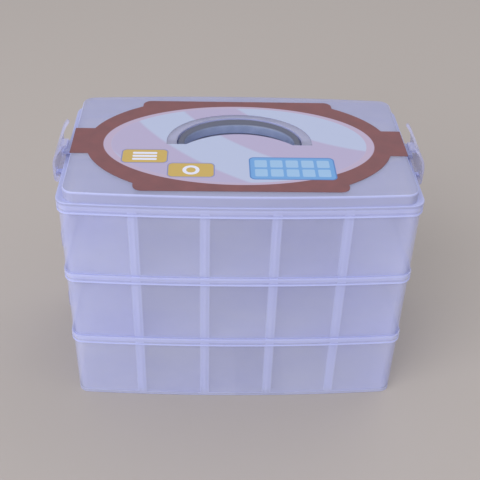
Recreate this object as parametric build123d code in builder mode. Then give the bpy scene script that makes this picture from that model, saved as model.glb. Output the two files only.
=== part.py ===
"""Three-tier stackable storage case with a fold-down carrying handle.

Millimetres, +Z up. The origin is on the surface the case stands on, under the middle of the case.
+X runs to the right along the long side, and +Y runs away from the front.
"""

import os
from math import cos, radians, sin, sqrt

from build123d import *

os.makedirs("parts", exist_ok=True)

# Plan of the case, measured over the rims
CASE_WIDTH = 320.0
CASE_DEPTH = 185.0
CORNER_RADIUS = 12.0
SIDE_BOW = 6.0  # the long sides bulge this much at their middle

# One tier: a tray whose rim receives the base of the piece above
TIER_NAMES = ("bottom", "middle", "top")
TIER_PITCH = 75.5
NEST_DEPTH = 3.5
RIM_HEIGHT = 9.0
RIM_PROUD = 1.7  # the rim stands out from the wall by this much
RIM_WALL = 1.3
RIM_EDGE_RADIUS = 0.5
RIM_BEAD = 2.2  # height of the bead along the rim's lower edge
RIM_GROOVE = 1.2  # height of the groove above the bead
RIM_GROOVE_DEPTH = 0.5
WALL = 2.0
FLOOR = 1.8
BASE_EDGE_RADIUS = 0.9
CENTRE_WALL = 1.6

# Loose dividers, which stand in slots between pairs of moulded ribs
COLUMNS = 5
DIVIDER_THICKNESS = 1.5
DIVIDER_HEIGHT = 70.0
DIVIDER_CORNER = 2.0
SLOT_CLEARANCE = 0.2
RIB_WIDTH = 2.6
RIB_REACH = 3.2

# Lid: a flange on the rim, a raised top, and a skirt inside the rim
LID_RISE = 13.4
LID_FLANGE = 2.6
LID_INSET = 0.8  # from the flange's long edges to the raised top
LID_END_INSET = 5.6  # further in at the two ends, which leaves room for the latches
LID_TOP = 2.0
LID_EDGE_RADIUS = 1.6
SKIRT_CLEARANCE = 0.4

# Side latches, which turn on a pin below the rim and hook over a catch on the piece above
LATCH_WIDTH = 56.0
LATCH_THICKNESS = 2.2
LATCH_STRAIGHT = 12.0  # from the pin up to where the plate starts to curve in
LATCH_CURVE_RADIUS = 30.0
LATCH_CURVE_ANGLE = 44.0
LATCH_DIP = 10.0  # the top edge is hollowed between two raised corners
LATCH_DIP_WIDTH = 44.0
LATCH_CORNER = 4.0
HOOK_WIDTH = 14.0
HOOK_THICKNESS = 3.0
HOOK_CLEARANCE = 0.2
CATCH_PROUD = 3.0  # beyond the tier's wall
CATCH_THICKNESS = 3.6
CATCH_DROP = 5.5  # from the lid's top down to the top of its catches
TIER_CATCH_WIDTH = 20.0
LID_CATCH_WIDTH = 20.0
HINGE_REACH = 8.0  # from the tier's wall out to the latch pin
HINGE_DROP = 2.0  # from the rim's lower edge down to the latch pin
KNUCKLE_RADIUS = 3.2
LATCH_PIN_RADIUS = 1.6
PIN_CLEARANCE = 0.1
LUG_SPACING = 36.0
LUG_THICKNESS = 5.0
LUG_CLEARANCE = 0.3
SNAP_SLOT = 2.6  # the mouth through which the pin snaps into its lug

# Handle: a bail that lies in a crescent channel in the lid
HANDLE_WIDTH = 114.0
HANDLE_REACH = 44.0  # from the pivot line to the outside of the grip
HANDLE_LEG = 6.0
HANDLE_GRIP = 10.5
HANDLE_HEIGHT = 11.0
HANDLE_EDGE_RADIUS = 2.0
HANDLE_PIVOT_Y = 1.0
HANDLE_SIT = 0.4  # the folded handle lies this far below the lid's top
STUB_RADIUS = 2.5
STUB_LENGTH = 8.0
CHANNEL_DEPTH = 12.0
CHANNEL_GAP = 1.2  # between the handle and the channel's outer wall
CHANNEL_WALL = 1.6
END_GAP = 1.0  # between the turning ends of the handle and the channel
ISLAND_REACH = 20.0  # how far the middle of the lid's island stands into the channel
BOSS_LENGTH = 8.8
BOSS_HALF_WIDTH = 6.0

# Printed card that lies on the lid, with a tab at each end
CARD_THICKNESS = 0.4
CARD_SHIFT = 2.2  # the oval and the body lie this far in front of the lid's middle
CARD_BODY_WIDTH = 187.0
CARD_BODY_DEPTH = 162.0
CARD_CORNER = 8.0
CARD_OVAL_WIDTH = 282.0
CARD_OVAL_DEPTH = 185.0
CARD_TAB_WIDTH = 45.0
CARD_TAB_SPAN = 308.0
CARD_CUT_MARGIN = 6.1
CARD_CUT_WIDENING = 3.2  # the window is this much wider again at each end of the handle
CARD_ISLAND_MARGIN = 0.6

# Heights and places that follow from the sizes above
TIER_HEIGHT = TIER_PITCH + NEST_DEPTH
RIM_BOTTOM = TIER_HEIGHT - RIM_HEIGHT
INNER_INSET = RIM_PROUD + WALL
COMPARTMENT = (CASE_WIDTH - 2 * INNER_INSET) / COLUMNS
LID_SEAT = (len(TIER_NAMES) - 1) * TIER_PITCH + TIER_HEIGHT
LID_TOP_Z = LID_SEAT + LID_RISE
CATCH_HEIGHT = NEST_DEPTH + LID_RISE - CATCH_DROP
CATCH_X = CASE_WIDTH / 2 - RIM_PROUD + CATCH_PROUD
HINGE_X = CASE_WIDTH / 2 - RIM_PROUD + HINGE_REACH
HINGE_Z = RIM_BOTTOM - HINGE_DROP
PIVOT_Z = LID_TOP_Z - HANDLE_SIT - HANDLE_HEIGHT / 2
CHANNEL_END_Y = HANDLE_PIVOT_Y - HANDLE_HEIGHT / 2 - END_GAP
CHANNEL_FLOOR_Z = LID_TOP_Z - CHANNEL_DEPTH
SIDES = {"left": -1, "right": 1}


def side_y(x, inset):
    """Distance from the middle of the case to a bowed long side, at x, for a wall at that inset."""
    half_width = CASE_WIDTH / 2 - inset
    radius = (half_width**2 + SIDE_BOW**2) / (2 * SIDE_BOW)
    return CASE_DEPTH / 2 - inset - radius + sqrt(radius**2 - x**2)


def plan(inset, height, hole_inset=None, end_inset=0):
    """The case's outline drawn in by inset, and further at its ends, with a hole of that form if asked."""
    with BuildSketch(Plane.XY.offset(height)) as outline:
        for edge_inset, mode in ((inset, Mode.ADD), (hole_inset, Mode.SUBTRACT)):
            if edge_inset is None:
                continue
            half_width = CASE_WIDTH / 2 - edge_inset - end_inset
            half_depth = CASE_DEPTH / 2 - edge_inset
            corner_y = half_depth - SIDE_BOW
            with BuildSketch(mode=Mode.PRIVATE) as shape:
                with BuildLine():
                    ThreePointArc((-half_width, corner_y), (0, half_depth), (half_width, corner_y))
                    Line((half_width, corner_y), (half_width, -corner_y))
                    ThreePointArc((half_width, -corner_y), (0, -half_depth), (-half_width, -corner_y))
                    Line((-half_width, -corner_y), (-half_width, corner_y))
                make_face()
                fillet(shape.vertices(), radius=CORNER_RADIUS - edge_inset)
            add(shape.sketch, mode=mode)
    return outline.sketch


def divider_columns():
    """The places along X where a divider stands, one between each two compartments."""
    return [(column - COLUMNS / 2) * COMPARTMENT for column in range(1, COLUMNS)]


def divider_span(x, row):
    """The two ends along Y of the divider at x, in the front row (-1) or the back row (1)."""
    near = CENTRE_WALL / 2 + SLOT_CLEARANCE
    far = side_y(abs(x) + DIVIDER_THICKNESS / 2, INNER_INSET) - SLOT_CLEARANCE
    return row * near, row * far


# Tray of one tier, with its base on Z = 0
RIB_OFFSET = (DIVIDER_THICKNESS + RIB_WIDTH) / 2 + SLOT_CLEARANCE
RIB_ROOT = WALL / 2  # how far a rib's root reaches into the wall behind it
LUG_PLANE = LUG_SPACING / 2
BORE_RADIUS = LATCH_PIN_RADIUS + PIN_CLEARANCE

with BuildPart() as tray:
    extrude(plan(RIM_PROUD, 0), amount=TIER_PITCH)
    fillet(tray.faces().sort_by(Axis.Z)[0].edges(), radius=BASE_EDGE_RADIUS)
    extrude(plan(0, RIM_BOTTOM), amount=RIM_HEIGHT)
    rim_underside = tray.faces().filter_by(Axis.Z).filter_by_position(Axis.Z, RIM_BOTTOM, RIM_BOTTOM)[0]
    rim_edges = tray.faces().sort_by(Axis.Z)[-1].edges() + rim_underside.outer_wire().edges()
    fillet(rim_edges, radius=RIM_EDGE_RADIUS)
    groove = plan(-RIM_PROUD, RIM_BOTTOM + RIM_BEAD, RIM_GROOVE_DEPTH)
    extrude(groove, amount=RIM_GROOVE, mode=Mode.SUBTRACT)
    extrude(plan(INNER_INSET, FLOOR), amount=TIER_HEIGHT, mode=Mode.SUBTRACT)
    extrude(plan(RIM_WALL, TIER_PITCH), amount=NEST_DEPTH, mode=Mode.SUBTRACT)

    # The fixed wall along the middle, and the pairs of ribs on it and on the long sides
    wall_height = DIVIDER_HEIGHT + FLOOR
    Box(
        CASE_WIDTH - 2 * INNER_INSET + WALL,
        CENTRE_WALL,
        wall_height,
        align=(Align.CENTER, Align.CENTER, Align.MIN),
    )
    for column_x in divider_columns():
        for rib_x in (column_x - RIB_OFFSET, column_x + RIB_OFFSET):
            long_side = side_y(rib_x, INNER_INSET)
            with Locations((rib_x, long_side + RIB_ROOT, 0), (rib_x, RIB_REACH + CENTRE_WALL / 2, 0)):
                Box(RIB_WIDTH, RIB_REACH + RIB_ROOT, wall_height, align=(Align.CENTER, Align.MAX, Align.MIN))
            with Locations((rib_x, -long_side - RIB_ROOT, 0), (rib_x, -RIB_REACH - CENTRE_WALL / 2, 0)):
                Box(RIB_WIDTH, RIB_REACH + RIB_ROOT, wall_height, align=(Align.CENTER, Align.MIN, Align.MIN))

    # Catches for the latches of the tier below
    catch_root = CATCH_X - CATCH_PROUD - WALL / 2
    for side in SIDES.values():
        with Locations((side * catch_root, 0, CATCH_HEIGHT)):
            Box(
                CATCH_PROUD + WALL / 2,
                TIER_CATCH_WIDTH,
                CATCH_THICKNESS,
                align=(Align.MIN if side > 0 else Align.MAX, Align.CENTER, Align.MAX),
            )

    # Lugs that carry the latch pins, each with a bore and a mouth below it
    for side in SIDES.values():
        for lug_y in (-LUG_PLANE, LUG_PLANE):
            with BuildSketch(Plane.XZ.offset(-lug_y)):
                with Locations((side * (HINGE_X - HINGE_REACH / 2 - WALL / 4), HINGE_Z)):
                    Rectangle(HINGE_REACH + WALL / 2, 2 * KNUCKLE_RADIUS)
                with Locations((side * HINGE_X, HINGE_Z)):
                    Circle(KNUCKLE_RADIUS)
                    Circle(BORE_RADIUS, mode=Mode.SUBTRACT)
                with Locations((side * HINGE_X, HINGE_Z)):
                    Rectangle(SNAP_SLOT, KNUCKLE_RADIUS, align=(Align.CENTER, Align.MAX), mode=Mode.SUBTRACT)
            extrude(amount=LUG_THICKNESS / 2, both=True)

for level, tier_name in enumerate(TIER_NAMES):
    with BuildPart() as tier:
        with Locations((0, 0, level * TIER_PITCH)):
            add(tray.part)
    tier.part.label = f"tier_{tier_name}"
    export_step(tier.part, f"parts/tier_{tier_name}.step")

# Loose dividers, four in the front row and four in the back row of each tier
for level, tier_name in enumerate(TIER_NAMES):
    for row, row_name in ((-1, "front"), (1, "back")):
        for number, column_x in enumerate(divider_columns(), start=1):
            near, far = divider_span(column_x, row)
            with BuildPart() as divider:
                with Locations((column_x, (near + far) / 2, level * TIER_PITCH + FLOOR)):
                    Box(
                        DIVIDER_THICKNESS,
                        abs(far - near),
                        DIVIDER_HEIGHT,
                        align=(Align.CENTER, Align.CENTER, Align.MIN),
                    )
                top_corners = divider.edges().filter_by(Axis.X).group_by(Axis.Z)[-1]
                fillet(top_corners, radius=DIVIDER_CORNER)
            divider_name = f"divider_{tier_name}_{row_name}_{number}"
            divider.part.label = divider_name
            export_step(divider.part, f"parts/{divider_name}.step")

# One latch for the right side of the bottom tier, closed
plate_outside = HINGE_X + KNUCKLE_RADIUS
curve_centre = (plate_outside - LATCH_CURVE_RADIUS, HINGE_Z + LATCH_STRAIGHT)
inner_radius = LATCH_CURVE_RADIUS - LATCH_THICKNESS
curve_end = Vector(cos(radians(LATCH_CURVE_ANGLE)), sin(radians(LATCH_CURVE_ANGLE)))
catch_top = TIER_PITCH + CATCH_HEIGHT
hook_bottom = catch_top + HOOK_CLEARANCE
hook_top = hook_bottom + HOOK_THICKNESS
hook_tip = CATCH_X - CATCH_PROUD + 2 * HOOK_CLEARANCE
middle_radius = LATCH_CURVE_RADIUS - LATCH_THICKNESS / 2
hook_root = curve_centre[0] + sqrt(middle_radius**2 - (hook_top - curve_centre[1]) ** 2)
latch_top = curve_centre[1] + LATCH_CURVE_RADIUS * curve_end.Y
dip_radius = ((LATCH_DIP_WIDTH / 2) ** 2 + LATCH_DIP**2) / (2 * LATCH_DIP)

with BuildPart() as latch:
    with BuildSketch(Plane.XZ):
        with BuildLine():
            outside = Line((plate_outside, HINGE_Z), (plate_outside, curve_centre[1]))
            outer_arc = CenterArc(curve_centre, LATCH_CURVE_RADIUS, 0, LATCH_CURVE_ANGLE)
            inner_arc = CenterArc(curve_centre, inner_radius, 0, LATCH_CURVE_ANGLE)
            inside = Line((plate_outside - LATCH_THICKNESS, HINGE_Z), inner_arc @ 0)
            Line(outer_arc @ 1, inner_arc @ 1)
            Line(outside @ 0, inside @ 0)
        make_face()
    extrude(amount=LATCH_WIDTH / 2, both=True)
    # The upper corners are rounded, and the edge between them is hollowed
    side_edges = latch.faces().sort_by(Axis.Z)[-1].edges().filter_by(Axis.Y, reverse=True)
    fillet(side_edges, radius=LATCH_CORNER)
    with Locations(Location((HINGE_X, 0, latch_top - LATCH_DIP + dip_radius), (0, 90, 0))):
        Cylinder(dip_radius, 4 * HINGE_REACH, mode=Mode.SUBTRACT)
    # The hook that reaches over the catch
    with Locations((hook_tip, 0, hook_bottom)):
        Box(
            hook_root - hook_tip,
            HOOK_WIDTH,
            HOOK_THICKNESS,
            align=(Align.MIN, Align.CENTER, Align.MIN),
        )
    # The knuckles between the lugs, on a pin that runs through them
    along_pin = (90, 0, 0)
    with Locations(Location((HINGE_X, 0, HINGE_Z), along_pin)):
        Cylinder(KNUCKLE_RADIUS, LATCH_WIDTH)
    lug_room = LUG_THICKNESS + 2 * LUG_CLEARANCE
    sweep_radius = KNUCKLE_RADIUS + LATCH_THICKNESS
    for lug_y in (-LUG_PLANE, LUG_PLANE):
        with Locations(Location((HINGE_X, lug_y, HINGE_Z), along_pin)):
            Cylinder(sweep_radius, lug_room, mode=Mode.SUBTRACT)
    with Locations(Location((HINGE_X, 0, HINGE_Z), along_pin)):
        Cylinder(LATCH_PIN_RADIUS, LATCH_WIDTH)

for level, tier_name in enumerate(TIER_NAMES):
    for side_name, side in SIDES.items():
        with BuildPart() as placed_latch:
            with Locations((0, 0, level * TIER_PITCH)):
                add(latch.part if side > 0 else mirror(latch.part, about=Plane.YZ, mode=Mode.PRIVATE))
        latch_name = f"latch_{tier_name}_{side_name}"
        placed_latch.part.label = latch_name
        export_step(placed_latch.part, f"parts/{latch_name}.step")


# Shapes that the lid, the handle and the card share around the handle
def bail_outline(growth, height, with_ends, widening=0):
    """A half oval round the handle, grown all round and widened, with straight ends to the channel's end."""
    half_width = HANDLE_WIDTH / 2 + growth + widening
    reach = HANDLE_REACH + growth
    with BuildSketch(Plane.XY.offset(height)) as outline:
        with Locations((0, HANDLE_PIVOT_Y)):
            Ellipse(half_width, reach)
            Rectangle(3 * half_width, 2 * reach, align=(Align.CENTER, Align.MAX), mode=Mode.SUBTRACT)
        if with_ends:
            with Locations((0, CHANNEL_END_Y)):
                Rectangle(
                    2 * half_width,
                    HANDLE_PIVOT_Y - CHANNEL_END_Y,
                    align=(Align.CENTER, Align.MIN),
                )
    return outline.sketch


def island(margin, height):
    """The low crown of the lid inside the handle, drawn in by margin on its curved edge."""
    half_width = HANDLE_WIDTH / 2 - HANDLE_LEG - END_GAP - margin
    with BuildSketch(Plane.XY.offset(height)) as outline:
        with BuildLine():
            start = (-half_width, CHANNEL_END_Y)
            end = (half_width, CHANNEL_END_Y)
            ThreePointArc(start, (0, CHANNEL_END_Y + ISLAND_REACH - margin), end)
            Line(end, start)
        make_face()
    return outline.sketch


# Lid
with BuildPart() as lid:
    extrude(plan(0, LID_SEAT), amount=LID_FLANGE)
    fillet(lid.faces().sort_by(Axis.Z)[-1].edges(), radius=RIM_EDGE_RADIUS)
    extrude(plan(LID_INSET, LID_SEAT, end_inset=LID_END_INSET), amount=LID_RISE)
    fillet(lid.faces().sort_by(Axis.Z)[-1].edges(), radius=LID_EDGE_RADIUS)
    cavity = plan(LID_INSET + WALL, LID_SEAT, end_inset=LID_END_INSET)
    extrude(cavity, amount=LID_RISE - LID_TOP, mode=Mode.SUBTRACT)
    skirt_bottom = LID_SEAT - NEST_DEPTH + SKIRT_CLEARANCE
    extrude(plan(RIM_PROUD, skirt_bottom, INNER_INSET), amount=LID_SEAT + LID_FLANGE - skirt_bottom)
    # Catches for the top tier's latches, below the lid's top
    for side in SIDES.values():
        with Locations((side * CATCH_X, 0, LID_TOP_Z - CATCH_DROP)):
            Box(
                LID_INSET + LID_END_INSET + CATCH_PROUD,
                LID_CATCH_WIDTH,
                CATCH_THICKNESS,
                align=(Align.MAX if side > 0 else Align.MIN, Align.CENTER, Align.MAX),
            )
    # A crescent channel for the handle, with its own floor and walls
    pan_height = CHANNEL_DEPTH + LID_TOP
    with BuildSketch(Plane.XY.offset(CHANNEL_FLOOR_Z - LID_TOP)):
        add(bail_outline(CHANNEL_GAP + CHANNEL_WALL, 0, True))
        with Locations((0, CHANNEL_END_Y)):
            Rectangle(
                HANDLE_WIDTH + 2 * (CHANNEL_GAP + CHANNEL_WALL),
                CHANNEL_WALL,
                align=(Align.CENTER, Align.MAX),
            )
        add(island(2 * CHANNEL_WALL, 0), mode=Mode.SUBTRACT)
    extrude(amount=pan_height)
    with BuildSketch(Plane.XY.offset(CHANNEL_FLOOR_Z)):
        add(bail_outline(CHANNEL_GAP, 0, True))
        add(island(0, 0), mode=Mode.SUBTRACT)
    extrude(amount=pan_height, mode=Mode.SUBTRACT)
    # Bosses behind the channel's ends, with blind bores for the handle's stubs
    boss_face = HANDLE_WIDTH / 2 + CHANNEL_GAP
    bore_length = STUB_LENGTH + END_GAP / 2
    for side in SIDES.values():
        with Locations((side * boss_face, HANDLE_PIVOT_Y, CHANNEL_FLOOR_Z)):
            Box(
                BOSS_LENGTH,
                2 * BOSS_HALF_WIDTH,
                CHANNEL_DEPTH - LID_TOP / 2,
                align=(Align.MIN if side > 0 else Align.MAX, Align.CENTER, Align.MIN),
            )
        bore_middle = side * (HANDLE_WIDTH / 2 + bore_length / 2)
        with Locations((bore_middle, HANDLE_PIVOT_Y, PIVOT_Z)):
            Cylinder(STUB_RADIUS + PIN_CLEARANCE, bore_length, rotation=(0, 90, 0), mode=Mode.SUBTRACT)
lid.part.label = "lid"
export_step(lid.part, "parts/lid.step")

# Handle: half an oval ring whose two ends are rounded about the pivot and carry stubs
with BuildPart() as handle:
    leg_inside = HANDLE_WIDTH / 2 - HANDLE_LEG
    with BuildSketch(Plane.XY.offset(PIVOT_Z - HANDLE_HEIGHT / 2)):
        add(bail_outline(0, 0, False))
        with Locations((0, HANDLE_PIVOT_Y)):
            Ellipse(leg_inside, HANDLE_REACH - HANDLE_GRIP, mode=Mode.SUBTRACT)
    extrude(amount=HANDLE_HEIGHT)
    for end_start in (-HANDLE_WIDTH / 2, leg_inside):
        with BuildSketch(Plane.YZ.offset(end_start)):
            with Locations((HANDLE_PIVOT_Y, PIVOT_Z)):
                Circle(HANDLE_HEIGHT / 2)
                Rectangle(
                    HANDLE_HEIGHT,
                    HANDLE_HEIGHT,
                    align=(Align.MIN, Align.CENTER),
                    mode=Mode.SUBTRACT,
                )
        extrude(amount=HANDLE_LEG)
    long_edges = handle.edges().filter_by(GeomType.ELLIPSE) + handle.edges().filter_by(GeomType.CIRCLE)
    fillet(long_edges, radius=HANDLE_EDGE_RADIUS)
    stub_middle = HANDLE_WIDTH / 2 + STUB_LENGTH / 2 - HANDLE_LEG / 4
    with Locations((-stub_middle, HANDLE_PIVOT_Y, PIVOT_Z), (stub_middle, HANDLE_PIVOT_Y, PIVOT_Z)):
        Cylinder(STUB_RADIUS, STUB_LENGTH + HANDLE_LEG / 2, rotation=(0, 90, 0))
handle.part.label = "handle"
export_step(handle.part, "parts/handle.step")

# Printed card: an oval joined to an oblong and two tabs, with a window for the handle
with BuildPart() as label_card:
    with BuildSketch(Plane.XY.offset(LID_TOP_Z)):
        with Locations((0, -CARD_SHIFT)):
            Ellipse(CARD_OVAL_WIDTH / 2, CARD_OVAL_DEPTH / 2)
            Rectangle(CARD_OVAL_WIDTH, CARD_BODY_DEPTH, mode=Mode.INTERSECT)
            RectangleRounded(CARD_BODY_WIDTH, CARD_BODY_DEPTH, CARD_CORNER)
        Rectangle(CARD_TAB_SPAN, CARD_TAB_WIDTH)
        add(bail_outline(CARD_CUT_MARGIN + CHANNEL_GAP, 0, True, CARD_CUT_WIDENING), mode=Mode.SUBTRACT)
        add(island(CARD_ISLAND_MARGIN, 0))
    extrude(amount=CARD_THICKNESS)
label_card.part.label = "label_card"
export_step(label_card.part, "parts/label_card.step")

print("overall height", LID_TOP_Z, "latch top", (len(TIER_NAMES) - 1) * TIER_PITCH + latch_top)
print("overall width", 2 * plate_outside, "depth", CASE_DEPTH)
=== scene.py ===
"""Stacking storage case with a fold-down handle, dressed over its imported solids. Metres, +Z up."""

from math import radians

import bpy
import numpy as np
from mathutils import Matrix, Vector

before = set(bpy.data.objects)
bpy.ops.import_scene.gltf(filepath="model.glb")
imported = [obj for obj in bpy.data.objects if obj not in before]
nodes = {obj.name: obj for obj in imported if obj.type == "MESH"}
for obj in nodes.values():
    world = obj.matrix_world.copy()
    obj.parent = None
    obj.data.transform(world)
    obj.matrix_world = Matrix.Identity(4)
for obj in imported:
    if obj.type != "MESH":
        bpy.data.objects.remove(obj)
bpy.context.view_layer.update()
MM = 0.001


# Trays: three like mouldings, each a floor, walls, a proud rim and a long centre wall with slot ribs.
# They are injection moulded in polypropylene, which is milky and clear where thin and whiter where thick.
# Each base nests in the rim below.
def linear(hex_colour):
    """The sRGB colour written as six hex digits, as linear red, green, blue and full alpha."""
    channels = np.array([int(hex_colour[i:i + 2], 16) for i in (0, 2, 4)]) / 255
    values = np.where(channels <= 0.04045, channels / 12.92, ((channels + 0.055) / 1.055) ** 2.4)
    return (*values.tolist(), 1.0)


def add_node(tree, kind, inputs=None, **settings):
    """Adds a node with its settings; each input is given a value, or another node's output to link."""
    made = tree.nodes.new("ShaderNode" + kind)
    for name, value in settings.items():
        setattr(made, name, value)
    for name, value in (inputs or {}).items():
        if isinstance(value, bpy.types.NodeSocket):
            tree.links.new(value, made.inputs[name])
        else:
            made.inputs[name].default_value = value
    return made


def new_material(name):
    """An empty node material with its output and a Principled shader linked to it."""
    material = bpy.data.materials.new(name)
    material.use_nodes = True
    tree = material.node_tree
    tree.nodes.clear()
    shader = add_node(tree, "BsdfPrincipled")
    add_node(tree, "OutputMaterial", {"Surface": shader.outputs["BSDF"]})
    return material, tree, shader


def dress(node_name, material):
    """Puts one material on every slot of a solid from the frame."""
    slots = nodes[node_name].data.materials
    slots.clear()
    slots.append(material)


CLOUD_SIZE, CLOUD_STRETCH = 45, 2  # flow clouds in mm, and how much the melt's flow draws them out along X
CLOUD_RELIEF = 2  # mm
SATIN_GRAIN = 1.2  # mm; the mould's grain is about 0.2 mm and is drawn coarser so that it shows
POLYPROPYLENE_IOR = 1.49


def milky_polypropylene(name, clear_hex, cloud_hex, seed):
    """Moulded polypropylene: hazy, with soft flow clouds and a satin grain. The caller sets the alpha."""
    material, tree, shader = new_material(name)
    place = add_node(tree, "TexCoord").outputs["Object"]
    stretched = add_node(tree, "Mapping", {"Vector": place, "Scale": (1 / CLOUD_STRETCH, 1.0, 1.0)})
    clouds = add_node(tree, "TexNoise", {
        "Vector": stretched.outputs["Vector"], "W": seed, "Scale": 1 / (CLOUD_SIZE * MM), "Detail": 3.0,
    }, noise_dimensions="4D")
    colour = add_node(tree, "ValToRGB", {"Fac": clouds.outputs["Fac"]})
    clear, cloudy = colour.color_ramp.elements
    clear.position, clear.color = 0.3, linear(clear_hex)
    cloudy.position, cloudy.color = 0.7, linear(cloud_hex)
    tree.links.new(colour.outputs["Color"], shader.inputs["Base Color"])
    grain = add_node(tree, "TexNoise", {"Vector": place, "Scale": 1 / (SATIN_GRAIN * MM), "Detail": 2.0})
    gloss = add_node(tree, "MapRange", {"Value": grain.outputs["Fac"], "To Min": 0.24, "To Max": 0.40})
    tree.links.new(gloss.outputs["Result"], shader.inputs["Roughness"])
    relief = add_node(tree, "Bump", {
        "Height": clouds.outputs["Fac"], "Strength": 0.10, "Distance": CLOUD_RELIEF * MM,
    })
    tree.links.new(relief.outputs["Normal"], shader.inputs["Normal"])
    shader.inputs["IOR"].default_value = POLYPROPYLENE_IOR
    return material, tree, shader, place


def frost(tree, height, haze):
    """How thick the plastic looks at a height: straight lines between stops of (z in mm, thickness)."""
    z_low, z_high = haze[0][0], haze[-1][0]
    share = add_node(tree, "MapRange", {"Value": height, "From Min": z_low * MM, "From Max": z_high * MM})
    ramp = add_node(tree, "ValToRGB", {"Fac": share.outputs["Result"]})
    stops = ramp.color_ramp.elements
    while len(stops) < len(haze):
        stops.new(1.0)
    for stop, (z, thickness) in zip(stops, haze):
        stop.position = (z - z_low) / (z_high - z_low)
        stop.color = (thickness, thickness, thickness, 1.0)
    return ramp.outputs["Color"]


def whiten(tree, shader, thickness, thick_hex, alpha_thin, alpha_thick):
    """Mixes the colour towards that of thick plastic, and raises the alpha, by thickness from 0 to 1."""
    thin_colour = shader.inputs["Base Color"].links[0].from_socket
    mixed = add_node(tree, "Mix", {0: thickness, 6: thin_colour, 7: linear(thick_hex)}, data_type="RGBA")
    tree.links.new(mixed.outputs[2], shader.inputs["Base Color"])
    alpha = add_node(tree, "MapRange", {"Value": thickness, "To Min": alpha_thin, "To Max": alpha_thick})
    tree.links.new(alpha.outputs["Result"], shader.inputs["Alpha"])


TIERS = ("bottom", "middle", "top")
TIER_PITCH = 75.5  # mm from one tray up to the next
COLUMN_PITCH = 62.52  # mm from one divider slot to the next
RIB_HALF, RIB_FADE = 3.4, 1.6  # about half the width over a slot's two ribs, and the fade beyond it, in mm
CORNER_START, CORNER_END = 134, 150  # mm from the middle of the case along X
RIB_HAZE, CORNER_HAZE = 0.45, 0.06
# Heights of a tray's base edge, bead, groove and rim in mm, each with how thick the plastic looks there
TRAY_HAZE = (
    (0.0, 0.7), (1.0, 0.5), (3.2, 0.3), (3.6, 0.5), (4.2, 0.5), (4.6, 0.0), (69.7, 0.0), (69.9, 0.9),
    (72.1, 0.9), (72.5, 0.05), (74.2, 0.05), (74.8, 0.4), (78.4, 0.5), (78.6, 0.2), (79.0, 0.2),
)
THIN_CLEAR, THIN_CLOUD, TRAY_THICK = "d1d5ff", "dbdfff", "c4ccff"
TRAY_ALPHA = (0.325, 0.88)  # where the plastic looks thinnest and thickest
for level, tier in enumerate(TIERS):
    tray_plastic, tree, shader, place = milky_polypropylene(
        f"milky_polypropylene_{tier}_tray", THIN_CLEAR, THIN_CLOUD, seed=1.0 + level
    )
    axes = add_node(tree, "SeparateXYZ", {"Vector": place})
    base = level * TIER_PITCH
    by_height = frost(tree, axes.outputs["Z"], [(base + z, thickness) for z, thickness in TRAY_HAZE])
    # The wall looks thicker in the turned corners, and at each slot, where two ribs stand behind it
    across = add_node(tree, "Math", {0: axes.outputs["X"]}, operation="ABSOLUTE")
    corner = add_node(tree, "MapRange", {
        "Value": across.outputs[0], "From Min": CORNER_START * MM, "From Max": CORNER_END * MM,
        "To Min": 0.0, "To Max": CORNER_HAZE,
    })
    half_pitch = COLUMN_PITCH / 2 * MM
    shifted = add_node(tree, "Math", {0: axes.outputs["X"], 1: half_pitch}, operation="ADD")
    from_slot = add_node(tree, "Math", {0: shifted.outputs[0], 1: half_pitch}, operation="PINGPONG")
    ribs = add_node(tree, "MapRange", {
        "Value": from_slot.outputs[0], "From Min": RIB_HALF * MM, "From Max": (RIB_HALF + RIB_FADE) * MM,
        "To Min": RIB_HAZE, "To Max": 0.0,
    })
    inner = add_node(tree, "Math", {0: across.outputs[0], 1: 2 * COLUMN_PITCH * MM}, operation="LESS_THAN")
    ribs = add_node(tree, "Math", {0: ribs.outputs["Result"], 1: inner.outputs[0]}, operation="MULTIPLY")
    upright = add_node(tree, "Math", {0: ribs.outputs[0], 1: corner.outputs["Result"]}, operation="MAXIMUM")
    thickness = add_node(tree, "Math", {0: by_height, 1: upright.outputs[0]}, operation="MAXIMUM")
    whiten(tree, shader, thickness.outputs[0], TRAY_THICK, *TRAY_ALPHA)
    dress(f"tier_{tier}", tray_plastic)

# Loose dividers: plain plates of the trays' milky polypropylene, which stand in the slots between the ribs.
# They are cloudier than the walls.
DIVIDER_ALPHA, DIVIDERS_IN_ROW = 0.62, 4
divider_plastic, _, shader, _ = milky_polypropylene(
    "milky_polypropylene_divider", THIN_CLEAR, THIN_CLOUD, seed=5.0
)
shader.inputs["Alpha"].default_value = DIVIDER_ALPHA
for tier in TIERS:
    for row in ("front", "back"):
        for number in range(1, DIVIDERS_IN_ROW + 1):
            dress(f"divider_{tier}_{row}_{number}", divider_plastic)

# Latches: curved plates with a hook and a moulded pin, which snap into lugs below each rim.
# They are moulded in milky polypropylene, a little thicker than the walls, so they hide a little more.
LATCH_ALPHA = 0.38
latch_plastic, _, shader, _ = milky_polypropylene("milky_polypropylene_latch", "b6b9e4", "c0c3ec", seed=6.0)
shader.inputs["Alpha"].default_value = LATCH_ALPHA
for tier in TIERS:
    for side in ("left", "right"):
        dress(f"latch_{tier}_{side}", latch_plastic)

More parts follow.
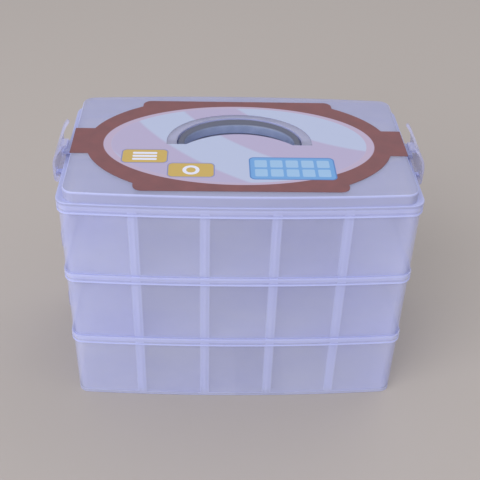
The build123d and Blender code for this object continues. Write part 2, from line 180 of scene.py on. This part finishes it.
# Lid: a flange on the top rim, a raised top and a crescent channel for the handle, in one moulding of
# milky polypropylene. It is cloudier than the trays' walls, and its edges are the whitest.
# Heights of the skirt, flange, wall and rounded top edge in mm, each with how thick the plastic looks there
LID_HAZE = (
    (226.0, 0.0), (229.9, 0.0), (230.0, 0.4), (231.2, 0.4), (231.7, 0.75), (232.5, 0.75), (232.9, 0.35),
    (241.2, 0.35), (241.9, 0.65), (243.2, 0.65), (243.35, 0.0), (244.0, 0.0),
)
LID_THICK, LID_ALPHA = "bfc7fc", (0.5, 0.9)
lid_plastic, tree, shader, place = milky_polypropylene(
    "milky_polypropylene_lid", "b0b2d1", "babcd9", seed=7.0
)
height = add_node(tree, "SeparateXYZ", {"Vector": place}).outputs["Z"]
whiten(tree, shader, frost(tree, height, LID_HAZE), LID_THICK, *LID_ALPHA)
dress("lid", lid_plastic)

# Handle: a bail of grey-blue polypropylene that turns on two moulded stubs in the lid.
# It is opaque and moulded with a fine grain. Its flat faces are darkened as painted shade, and its side
# walls are paler as painted light.
PIVOT_HEIGHT = 237.5  # mm
FLAT_START, FLAT_END = 3.8, 5.0  # mm above or below the pivot, between which a side wall turns flat and the walls' painted light gives way to the flat faces' painted shade
MOTTLE_SIZE = 9  # mm
HANDLE_GRAIN, GRAIN_RELIEF = 0.8, 0.1  # mm; the grain is about 0.3 mm and is drawn coarser so that it shows
handle_plastic, tree, shader = new_material("grey_polypropylene_handle")
place = add_node(tree, "TexCoord").outputs["Object"]
mottle = add_node(tree, "TexNoise", {"Vector": place, "Scale": 1 / (MOTTLE_SIZE * MM), "Detail": 4.0})
# The side walls' grey-blue is mottled at random and drawn paler than the flat faces as painted light
lit_wall_colour = add_node(tree, "ValToRGB", {"Fac": mottle.outputs["Fac"]})
dark, pale = lit_wall_colour.color_ramp.elements
dark.position, dark.color = 0.3, linear("8693b2")
pale.position, pale.color = 0.7, linear("939fbd")
height = add_node(tree, "SeparateXYZ", {"Vector": place}).outputs["Z"]
from_pivot = add_node(tree, "Math", {0: height, 1: PIVOT_HEIGHT * MM}, operation="SUBTRACT")
from_pivot = add_node(tree, "Math", {0: from_pivot.outputs[0]}, operation="ABSOLUTE")
shaded_flat_face = add_node(tree, "MapRange", {
    "Value": from_pivot.outputs[0], "From Min": FLAT_START * MM, "From Max": FLAT_END * MM,
})
# Painted shade: the flat faces, away from the pivot's height, are mixed to a dark grey, and the side walls
# keep their paler painted light
colour = add_node(tree, "Mix", {
    0: shaded_flat_face.outputs["Result"], 6: lit_wall_colour.outputs["Color"], 7: linear("575b70"),
}, data_type="RGBA")
tree.links.new(colour.outputs[2], shader.inputs["Base Color"])
grain = add_node(tree, "TexNoise", {"Vector": place, "Scale": 1 / (HANDLE_GRAIN * MM), "Detail": 2.0})
gloss = add_node(tree, "MapRange", {"Value": grain.outputs["Fac"], "To Min": 0.28, "To Max": 0.46})
tree.links.new(gloss.outputs["Result"], shader.inputs["Roughness"])
relief = add_node(tree, "Bump", {
    "Height": grain.outputs["Fac"], "Strength": 0.15, "Distance": GRAIN_RELIEF * MM,
})
tree.links.new(relief.outputs["Normal"], shader.inputs["Normal"])
shader.inputs["IOR"].default_value = POLYPROPYLENE_IOR
dress("handle", handle_plastic)

# Printed card: a die-cut card that lies on the lid, with a window for the handle.
# It is offset printed, with a red-brown border round a pale field with plain panels, and its varnish
# is nearly matt. All sizes in this section are in mm.
PRINT_SHIFT = 2.5  # the oval's middle lies this far in front of the lid's
PRINT_EDGE = 0.2  # half the width over which one ink gives way to the next
card_print, tree, shader = new_material("printed_card")
flat = add_node(tree, "Mapping", {
    "Vector": add_node(tree, "TexCoord").outputs["Object"], "Scale": (1 / MM, 1 / MM, 0.0),
}).outputs["Vector"]


def oval(half_x, half_y):
    """Ink inside an oval round the print's middle: the length of the scaled place is under one."""
    scaled = add_node(tree, "Mapping", {
        "Vector": flat, "Location": (0.0, PRINT_SHIFT / half_y, 0.0),
        "Scale": (1 / half_x, 1 / half_y, 1.0),
    })
    reach = add_node(tree, "VectorMath", {0: scaled.outputs["Vector"]}, operation="LENGTH")
    edge = PRINT_EDGE / half_y
    return add_node(tree, "MapRange", {
        "Value": reach.outputs["Value"], "From Min": 1 - edge, "From Max": 1 + edge,
        "To Min": 1.0, "To Max": 0.0,
    }).outputs["Result"]


def oblong(place, centre, half, corner):
    """Ink inside a round-cornered oblong: the distance outside its inner box is under the corner radius."""
    moved = add_node(tree, "VectorMath", {0: place, 1: (*centre, 0.0)}, operation="SUBTRACT")
    folded = add_node(tree, "VectorMath", {0: moved.outputs["Vector"]}, operation="ABSOLUTE")
    outside = add_node(tree, "VectorMath", {
        0: folded.outputs["Vector"], 1: (half[0] - corner, half[1] - corner, 0.0),
    }, operation="SUBTRACT")
    clipped = add_node(tree, "VectorMath", {
        0: outside.outputs["Vector"], 1: (0.0, 0.0, 0.0),
    }, operation="MAXIMUM")
    reach = add_node(tree, "VectorMath", {0: clipped.outputs["Vector"]}, operation="LENGTH")
    return add_node(tree, "MapRange", {
        "Value": reach.outputs["Value"], "From Min": corner - PRINT_EDGE, "From Max": corner + PRINT_EDGE,
        "To Min": 1.0, "To Max": 0.0,
    }).outputs["Result"]


def ink(under, area, hex_colour):
    """One ink laid over what is printed under it, where its area is."""
    laid = add_node(tree, "Mix", {0: area, 7: linear(hex_colour)}, data_type="RGBA")
    tree.links.new(under, laid.inputs[6])
    return laid.outputs[2]


# The border's red-brown is a little uneven, as a large solid of ink is
PRESS_MOTTLE = 14
press = add_node(tree, "TexNoise", {"Vector": flat, "Scale": 1 / PRESS_MOTTLE, "Detail": 3.0})
border = add_node(tree, "ValToRGB", {"Fac": press.outputs["Fac"]})
dark, pale = border.color_ramp.elements
dark.position, dark.color = 0.3, linear("764f54")
pale.position, pale.color = 0.7, linear("805458")
RING_HALF, FIELD_HALF = (125.4, 71), (118, 67.5)
printed = ink(border.outputs["Color"], oval(*RING_HALF), "b2a4bf")
field = oval(*FIELD_HALF)
printed = ink(printed, field, "aeb7d4")
# Soft lilac arcs round a point off the card; at this scale one follows the next after about 95 mm
ARC_CENTRE, ARC_SCALE = (170, 190), 1 / 300
round_arcs = add_node(tree, "Mapping", {"Vector": flat, "Location": (-ARC_CENTRE[0], -ARC_CENTRE[1], 0)})
arcs = add_node(tree, "TexWave", {
    "Vector": round_arcs.outputs["Vector"], "Scale": ARC_SCALE, "Distortion": 0.0,
}, wave_type="RINGS", rings_direction="Z")
lilac = add_node(tree, "MapRange", {"Value": arcs.outputs["Fac"], "From Min": 0.45, "From Max": 0.55})
lilac = add_node(tree, "Math", {0: lilac.outputs["Result"], 1: field}, operation="MULTIPLY")
printed = ink(printed, lilac.outputs[0], "aca4c4")
# A blue panel of five by two cells
CELL_X, CELL_Y, CELL_HALF, CELL_CORNER = 14.0, 15.0, (5.6, 6.1), 1.5
PANEL, PANEL_EDGE_HALF, PANEL_HALF = (46.0, -46.0), (38.5, 18.5), (37.3, 17.3)
CELLS_HALF = (2.5 * CELL_X, CELL_Y)
printed = ink(printed, oblong(flat, PANEL, PANEL_EDGE_HALF, 5), "5580bd")
printed = ink(printed, oblong(flat, PANEL, PANEL_HALF, 4), "6c9cd2")
from_corner = add_node(tree, "VectorMath", {
    0: flat, 1: (PANEL[0] - CELLS_HALF[0], PANEL[1] - CELLS_HALF[1], 0.0),
}, operation="SUBTRACT")
cell = add_node(tree, "VectorMath", {
    0: from_corner.outputs["Vector"], 1: (CELL_X, CELL_Y, 1.0),
}, operation="MODULO")
cells = oblong(cell.outputs["Vector"], (CELL_X / 2, CELL_Y / 2), CELL_HALF, CELL_CORNER)
inside = oblong(flat, PANEL, CELLS_HALF, 0.5)
cells = add_node(tree, "Math", {0: cells, 1: inside}, operation="MULTIPLY")
printed = ink(printed, cells.outputs[0], "94b6da")
# Two amber badges: one with three bars, one with a ring
BAR_BADGE, RING_BADGE = (-86.0, -27.0), (-44.0, -50.0)
BAR_PITCH, BAR_HALF = 5.2, (11.0, 1.7)
AMBER, BADGE_EDGE, BADGE_PALE = "bfa45f", "7d84b4", "d6d9ee"
for centre in (BAR_BADGE, RING_BADGE):
    printed = ink(printed, oblong(flat, centre, (21.0, 12.0), 5), BADGE_EDGE)
    printed = ink(printed, oblong(flat, centre, (20.0, 11.0), 4.2), AMBER)
for bar in (-BAR_PITCH, 0.0, BAR_PITCH):
    printed = ink(printed, oblong(flat, (BAR_BADGE[0], BAR_BADGE[1] + bar), BAR_HALF, 1.2), BADGE_PALE)
printed = ink(printed, oblong(flat, RING_BADGE, (7.5, 7.5), 7.4), BADGE_PALE)
printed = ink(printed, oblong(flat, RING_BADGE, (4.2, 4.2), 4.1), AMBER)
tree.links.new(printed, shader.inputs["Base Color"])
varnish = add_node(tree, "MapRange", {"Value": press.outputs["Fac"], "To Min": 0.55, "To Max": 0.72})
tree.links.new(varnish.outputs["Result"], shader.inputs["Roughness"])
# Paper fibres are a few hundredths of a millimetre thick and are drawn coarser so that they show
FIBRE_SIZE, FIBRE_RELIEF = 1.1, 0.2
fibre = add_node(tree, "TexNoise", {"Vector": flat, "Scale": 1 / FIBRE_SIZE, "Detail": 3.0})
relief = add_node(tree, "Bump", {
    "Height": fibre.outputs["Fac"], "Strength": 0.06, "Distance": FIBRE_RELIEF * MM,
})
tree.links.new(relief.outputs["Normal"], shader.inputs["Normal"])
shader.inputs["IOR"].default_value = 1.5
shader.inputs["Specular IOR Level"].default_value = 0.35
dress("label_card", card_print)

# Studio: a plain pale paper floor and soft white lamps, seen from the photograph's viewing angle.
# The paper is matt and has no gloss to speak of. Places and sizes here are in metres.
FLOOR_SIZE = 6.0
half = FLOOR_SIZE / 2
floor_mesh = bpy.data.meshes.new("studio_floor")
floor_mesh.from_pydata(
    [(-half, -half, 0), (half, -half, 0), (half, half, 0), (-half, half, 0)], [], [(0, 1, 2, 3)]
)
floor = bpy.data.objects.new("studio_floor", floor_mesh)
bpy.context.scene.collection.objects.link(floor)
floor_paper, tree, shader = new_material("studio_floor_paper")
shader.inputs["Base Color"].default_value = linear("b2aba8")
shader.inputs["Roughness"].default_value = 0.9
shader.inputs["Specular IOR Level"].default_value = 0.1
floor_mesh.materials.append(floor_paper)

ROOM_LIGHT = 0.64
world = bpy.data.worlds.new("studio_room")
bpy.context.scene.world = world
world.use_nodes = True
world.node_tree.nodes["Background"].inputs["Color"].default_value = (1.0, 1.0, 1.0, 1.0)
world.node_tree.nodes["Background"].inputs["Strength"].default_value = ROOM_LIGHT

LAMP_TARGET = Vector((0, 0, 0.12))


def soft_lamp(name, place, size, watts):
    """A square area lamp at a place, turned to face the middle of the case."""
    light = bpy.data.lights.new(name, "AREA")
    light.energy = watts
    light.size = size
    lamp = bpy.data.objects.new(name, light)
    bpy.context.scene.collection.objects.link(lamp)
    aim = (LAMP_TARGET - Vector(place)).to_track_quat("-Z", "Y")
    lamp.matrix_world = Matrix.Translation(place) @ aim.to_matrix().to_4x4()


soft_lamp("studio_key", (-0.9, -1.0, 1.8), 1.2, 4)
soft_lamp("studio_front", (-2.1, -2.8, 2.0), 4.2, 116)
soft_lamp("studio_fill", (1.2, -0.6, 1.4), 1.2, 2)
soft_lamp("studio_back", (0.9, 1.0, 2.2), 1.4, 7)

# The camera's place, aim and roll come from a fit to the photograph's straight edges.
CAMERA_PLACE = Vector((-0.0276, -0.6793, 0.6384))
CAMERA_AIM = Vector((0.00361, 0.0, 0.12962))
CAMERA_ROLL = radians(1.96)
FOCAL_PIXELS, FRAME_PIXELS = 839.61, 480
camera_data = bpy.data.cameras.new("studio_camera")
camera_data.sensor_width = 36
camera_data.lens = FOCAL_PIXELS / FRAME_PIXELS * camera_data.sensor_width
camera = bpy.data.objects.new("studio_camera", camera_data)
bpy.context.scene.collection.objects.link(camera)
aim = (CAMERA_AIM - CAMERA_PLACE).to_track_quat("-Z", "Y").to_matrix().to_4x4()
camera.matrix_world = Matrix.Translation(CAMERA_PLACE) @ aim @ Matrix.Rotation(CAMERA_ROLL, 4, "Z")
bpy.context.scene.camera = camera
bpy.context.scene.view_settings.view_transform = "Standard"
